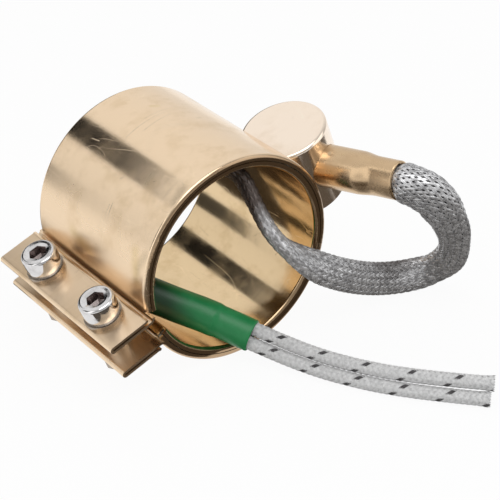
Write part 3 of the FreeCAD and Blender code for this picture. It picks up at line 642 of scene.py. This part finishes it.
def make_wire(number, route):
    """An insulated wire: a core with a hollow cut end, bare strands, white yarns and a tracer."""
    line, steps = spline_line("wire_line", route, 0.16 * MM)
    radius = WIRE_RADIUS * MM * (1 + WIRE_FRAY * ease(steps / steps[-1], 0.955, 1.0))
    weave = Weave(line, steps, WIRE_GUIDES, radius, radius, 1.0, WIRE_PITCH * MM, WIRE_YARNS)
    skin = weave.tube(0.12 * MM, 24)
    rim, middle = skin[-1], line[-1]
    back = weave.tangent[-1] * 0.5 * MM
    hollow = [middle + (rim - middle) * 0.60, middle + (rim - middle) * 0.56 - back,
              0 * rim + middle - back]
    core = mesh_piece("wire_%d_core" % number, [np.concatenate([skin, np.stack(hollow)])],
                      MATERIALS["white_yarn"], "heater", wrap=True)
    strands = mesh_piece("wire_%d_strands" % number, bare_strands(weave, rim, middle, back),
                         MATERIALS["nickel"], "heater", wrap=True)
    phase = 0.10 + 0.04 * number
    turns = [(way, k) for way in (1, -1) for k in range(WIRE_YARNS) if (way, k) != (-1, 0)]
    white = [weave.strand(k, way, **YARN, start=phase * way) for way, k in turns]
    yarns = mesh_piece("wire_%d_yarns" % number, white, MATERIALS["white_yarn"], "heater")
    tracer = mesh_piece("wire_%d_tracer" % number, [weave.strand(0, -1, **TRACER, start=-phase)],
                        MATERIALS["tracer"], "heater")
    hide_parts("lead_wire_%d" % number)
    return core, [yarns, tracer, strands], line, steps[-1]


# ---------------------------------------------------------------- outlet tube

# sizes in mm
TUBE_RADIUS = 5.1              # outside, at the drum
TUBE_WALL = 0.7
TUBE_STUB = 1.6                # inside the drum
TUBE_PRESS = (8.5, 13.5)       # where it turns from round to oval, from the drum outwards
TUBE_ROWS, TUBE_COLUMNS = 90, 96


def hump(turn, middle, spread):
    """A smooth hump at one bearing round the tube, 1 at its middle; bearings in degrees."""
    away = (np.degrees(turn) - middle + 180) % 360 - 180
    return np.exp(-(away / spread) ** 2)


def tube_shell(at, half_tall, half_wide, inset):
    """One ring of the outlet tube, at mm outside the drum and inset from its outer skin."""
    turn = np.arange(TUBE_COLUMNS) * 2 * math.pi / TUBE_COLUMNS
    wide = np.cross(SCREW_UP, TUBE_AXIS)
    dent = 0.5 * ease(at, 6.0, 13.5) * hump(turn, 132, 42)
    groove = 0.22 * ease(at, 1.2, 2.2) * (1 - ease(at, 5.5, 7.5)) * hump(turn, 96, 5)
    bow = 0.35 * ease(at, 18.0, TUBE_LENGTH) * hump(turn, 150, 60)
    inset = inset + 0.9 * (dent + groove)
    ring = np.outer(at - TUBE_LENGTH - bow, TUBE_AXIS)
    ring += np.outer((half_wide - inset) * np.cos(turn), wide)
    ring += np.outer((half_tall - inset) * np.sin(turn), SCREW_UP)
    return (TUBE_MOUTH + ring) * MM


def make_tube():
    """The outlet tube: round at the drum, then pressed oval and dented on to the lead."""
    outer, inner = [], []
    for at in np.linspace(-TUBE_STUB, TUBE_LENGTH, TUBE_ROWS):
        press = ease(at, *TUBE_PRESS)
        tall, wide = TUBE_RADIUS - 0.1 * press, TUBE_RADIUS - 0.85 * press
        lip = 0.18 * ease(at, TUBE_LENGTH - 0.25, TUBE_LENGTH)
        outer.append(tube_shell(at, tall, wide, lip))
        inner.append(tube_shell(at, tall, wide, TUBE_WALL))
    rings = np.stack(outer + inner[::-1])
    tube = mesh_piece("outlet_tube_pressed", [np.concatenate([rings, rings[:1]])], MATERIALS["tube"],
                      "heater", wrap=True)
    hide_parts("outlet_tube")


# ---------------------------------------------------------------- clamp screws

# sizes in mm, and heights along the screw from the middle of the clamp gap
HEAD_RADIUS, HEAD_HEIGHT = 4.25, 5.0
HEAD_SEAT = 5.9                # underside of the head
HEAD_ROUND = 0.8
SOCKET_APOTHEM, SOCKET_DEPTH = 2.0, 2.6
SOCKET_MOUTH = 2.85            # radius of the shallow funnel round the socket
THREAD_RADIUS, THREAD_DEPTH, THREAD_PITCH = 2.46, 0.42, 0.8
THREAD_START, THREAD_RUN_OUT = 5.4, 0.6
SHANK_END, SHANK_POINT = -10.1, 0.6
SCREW_COLUMNS = 72
TIP_RADIUS = 0.02              # ring that closes a face at its middle


def make_screw(place):
    """A socket head cap screw with a rolled thread, turned about its own axis."""
    middle = TO_CLAMP * SCREW_REACH + np.array((0.0, SCREW_PLACES[place], 0.0))
    across = np.array((0.0, 1.0, 0.0))
    aside = np.cross(across, SCREW_UP)
    turn = np.arange(SCREW_COLUMNS) * 2 * math.pi / SCREW_COLUMNS

    def ring(radius, height):
        rim = np.outer(radius * np.cos(turn), across) + np.outer(radius * np.sin(turn), aside)
        return (middle + rim + SCREW_UP * height) * MM

    def hex_ring(height):
        sixth = math.pi / 3
        return ring(SOCKET_APOTHEM / np.cos((turn + sixth / 2) % sixth - sixth / 2), height)

    def thread_ring(height):
        ridge = np.abs(2 * ((height / THREAD_PITCH + turn / (2 * math.pi)) % 1.0) - 1)
        deep = THREAD_DEPTH * min(1.0, max(0.0, (THREAD_START - height) / THREAD_RUN_OUT))
        point = max(0.0, SHANK_END + SHANK_POINT - height)
        return ring(THREAD_RADIUS - deep * ridge - point, height)

    top_at = HEAD_SEAT + HEAD_HEIGHT
    flat = HEAD_RADIUS - HEAD_ROUND
    side = [ring(2.6, HEAD_SEAT), ring(HEAD_RADIUS - 0.1, HEAD_SEAT), ring(HEAD_RADIUS, HEAD_SEAT + 0.1),
            ring(HEAD_RADIUS, 8.0)]
    for arc in np.linspace(0, math.pi / 2, 7):
        side.append(ring(flat + HEAD_ROUND * math.cos(arc), top_at - HEAD_ROUND * (1 - math.sin(arc))))
    mouth = ring(SOCKET_MOUTH, top_at - 0.04)
    rim = hex_ring(top_at - 0.28)
    floor_rim = hex_ring(top_at - SOCKET_DEPTH)
    top = [ring(flat, top_at), mouth]
    funnel = [mouth, rim]
    shank = [thread_ring(height) for height in np.arange(HEAD_SEAT, SHANK_END, -0.1)]
    shank.append(ring(TIP_RADIUS, SHANK_END))
    grids = [np.stack(g) for g in (side, top, funnel, shank)]
    screw = mesh_piece("screw_" + place, grids, MATERIALS["screw"], place + "_screw", wrap=True)
    # the hex socket's walls and floor, dark with painted shade
    walls = [rim, floor_rim]
    floor = [floor_rim, ring(TIP_RADIUS, top_at - SOCKET_DEPTH - 0.9)]
    grids = [np.stack(g) for g in (walls, floor)]
    socket = mesh_piece("socket_" + place, grids, MATERIALS["socket"], place + "_screw", wrap=True,
                        flat=(0, 1))
    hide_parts("clamp_screw_" + place)


# ---------------------------------------------------------------- build the pieces

make_tube()
for screw_place in SCREW_PLACES:
    make_screw(screw_place)
braid, braid_sets, braid_line, braid_length = make_braid()
sleeve = make_sleeve()
for wire_number, wire_route in enumerate(WIRE_ROUTES, 1):
    wire, wire_parts, wire_line, wire_length = make_wire(wire_number, wire_route)


# ---------------------------------------------------------------- studio

FLOOR_SIZE = 3.0               # half side, in metres

# dark cards beside the set, seen only in the metal: from a point (X, Z) on the set, the bearing
# round +Y from +X and the way there, half the width, the ends along Y, all in mm, and the grey
CARDS = [
    {"start": (-14.3, 20.5), "bearing": 115, "away": 200, "half": 53, "ends": (204, 620), "grey": 0.0},
    {"start": (-22.8, 10.2), "bearing": 177, "away": 100, "half": 22, "ends": (137, 400), "grey": 0.05},
    {"start": (30.0, 14.0), "bearing": 162, "away": 260, "half": 62, "ends": (15, 115), "grey": 0.10},
]
# dark mats just over the floor, in front and behind, seen only in the metal: X and Y of two
# corners and the height, in mm, and the colour
MATS = [
    {"corners": (-75.0, -24.5, 170.0, -210.0), "height": -24.9, "colour": (0.10, 0.085, 0.07)},
    {"corners": (-40.0, 25.0, 70.0, 75.0), "height": -24.9, "colour": (0.05, 0.04, 0.03)},
]
# soft lamps: place, size and power
LAMPS = {
    "key": ((-0.10, -0.25, 0.55), (0.50, 0.35), 1.2),
    "left": ((-0.60, 0.05, 0.22), (0.50, 0.50), 0.6),
    "right": ((0.45, -0.45, 0.30), (0.50, 0.60), 0.7),
}
CAMERA_PLACE = (-0.18802, -0.27433, 0.1945)
CAMERA_RIGHT = (0.797, -0.605, 0.0)
CAMERA_FORWARD = (0.516, 0.680, -0.521)
CAMERA_LENS = 117.83


def stage_sheet(name, corners, material):
    """A flat four-cornered piece of the set."""
    mesh = bpy.data.meshes.new(name)
    mesh.from_pydata([tuple(corner) for corner in corners], [], [(0, 1, 2, 3)])
    mesh.materials.append(material)
    sheet = bpy.data.objects.new(name, mesh)
    bpy.context.scene.collection.objects.link(sheet)
    return sheet


def pale_floor(name, colour, shade):
    """Pale floor: white to the camera and in reflections, with the object's soft shadow."""
    s = new_shader(name)
    rays = s.node("LightPath").outputs
    seen = s.math("MAXIMUM", rays["Is Camera Ray"], rays["Is Transmission Ray"])
    seen = s.math("MULTIPLY", s.math("MAXIMUM", seen, rays["Is Glossy Ray"]), shade)
    diffuse = s.node("BsdfDiffuse", {"Color": colour})
    glow = s.node("Emission", {"Color": (1.0, 1.0, 1.0), "Strength": 1.0})
    return s.finish(s.node("MixShader", {0: seen, 1: diffuse.outputs[0], 2: glow.outputs[0]}))


def make_floor():
    side, z = FLOOR_SIZE, FLOOR_Z
    corners = [(-side, -side, z), (side, -side, z), (side, side, z), (-side, side, z)]
    stage_sheet("floor", corners, pale_floor("pale_floor", (0.80, 0.80, 0.80), 0.94))


def make_card(name, corners, colour):
    """A card that only reflections see."""
    s = new_shader(name)
    card = stage_sheet(name, corners, s.finish(s.node("Emission", {"Color": colour, "Strength": 1.0})))
    card.visible_camera = False
    card.visible_shadow = False
    card.visible_diffuse = False


def make_cards():
    for number, card in enumerate(CARDS, 1):
        turn = math.radians(card["bearing"])
        x, z = card["start"]
        middle = Vector((x + card["away"] * math.cos(turn), 0, z + card["away"] * math.sin(turn))) * MM
        side = Vector((math.sin(turn), 0, -math.cos(turn))) * card["half"] * MM
        near, far = (Vector((0, end * MM, 0)) for end in card["ends"])
        corners = [middle - side + near, middle + side + near, middle + side + far, middle - side + far]
        make_card("card_%d" % number, corners, (card["grey"],) * 3)
    for number, mat in enumerate(MATS, 1):
        x0, y0, x1, y1 = (MM * value for value in mat["corners"])
        z = mat["height"] * MM
        make_card("mat_%d" % number, [(x0, y0, z), (x1, y0, z), (x1, y1, z), (x0, y1, z)], mat["colour"])


def make_world():
    """White to the camera; to everything else a pale room, dark where it opens behind the set."""
    world = bpy.data.worlds.new("studio")
    bpy.context.scene.world = world
    s = Shader(world, "OutputWorld")
    seen = s.node("LightPath").outputs["Is Camera Ray"]
    towards = s.split(s.coordinates["Generated"])
    level = s.ramp(towards["Y"], -0.5, 0.6, 0.50, 0.96)
    level = s.math("MULTIPLY", level, s.ramp(towards["Z"], -0.1, 0.9, 0.94, 1.06))
    level = s.math("MULTIPLY", level, s.ramp(towards["Y"], 0.83, 0.93, 1.0, 0.05))
    tint = s.node("CombineXYZ", {"X": level, "Y": level, "Z": level}).outputs[0]
    room = s.node("Background", {"Color": tint, "Strength": 0.92})
    white = s.node("Background", {"Color": (1.0, 1.0, 1.0), "Strength": 1.0})
    s.finish(s.node("MixShader", {0: seen, 1: room.outputs[0], 2: white.outputs[0]}))


def make_lamps():
    """Soft square lamps that all face the middle of the bore."""
    for name, (place, size, power) in LAMPS.items():
        data = bpy.data.lights.new(name, "AREA")
        data.shape = "RECTANGLE"
        data.size, data.size_y = size
        data.energy = power
        lamp = bpy.data.objects.new(name, data)
        lamp.location = place
        lamp.rotation_euler = (-Vector(place)).to_track_quat("-Z", "Y").to_euler()
        bpy.context.scene.collection.objects.link(lamp)


def make_camera():
    data = bpy.data.cameras.new("camera")
    data.lens = CAMERA_LENS
    data.sensor_width = 36.0
    data.clip_start = 0.01
    camera = bpy.data.objects.new("camera", data)
    right = Vector(CAMERA_RIGHT).normalized()
    forward = Vector(CAMERA_FORWARD).normalized()
    up = right.cross(forward).normalized()
    turn = Matrix((right, up, -forward)).transposed().to_4x4()
    camera.matrix_world = Matrix.Translation(CAMERA_PLACE) @ turn
    bpy.context.scene.collection.objects.link(camera)
    bpy.context.scene.camera = camera


make_floor()
make_cards()
make_world()
make_lamps()
make_camera()
bpy.context.scene.view_settings.view_transform = "Standard"
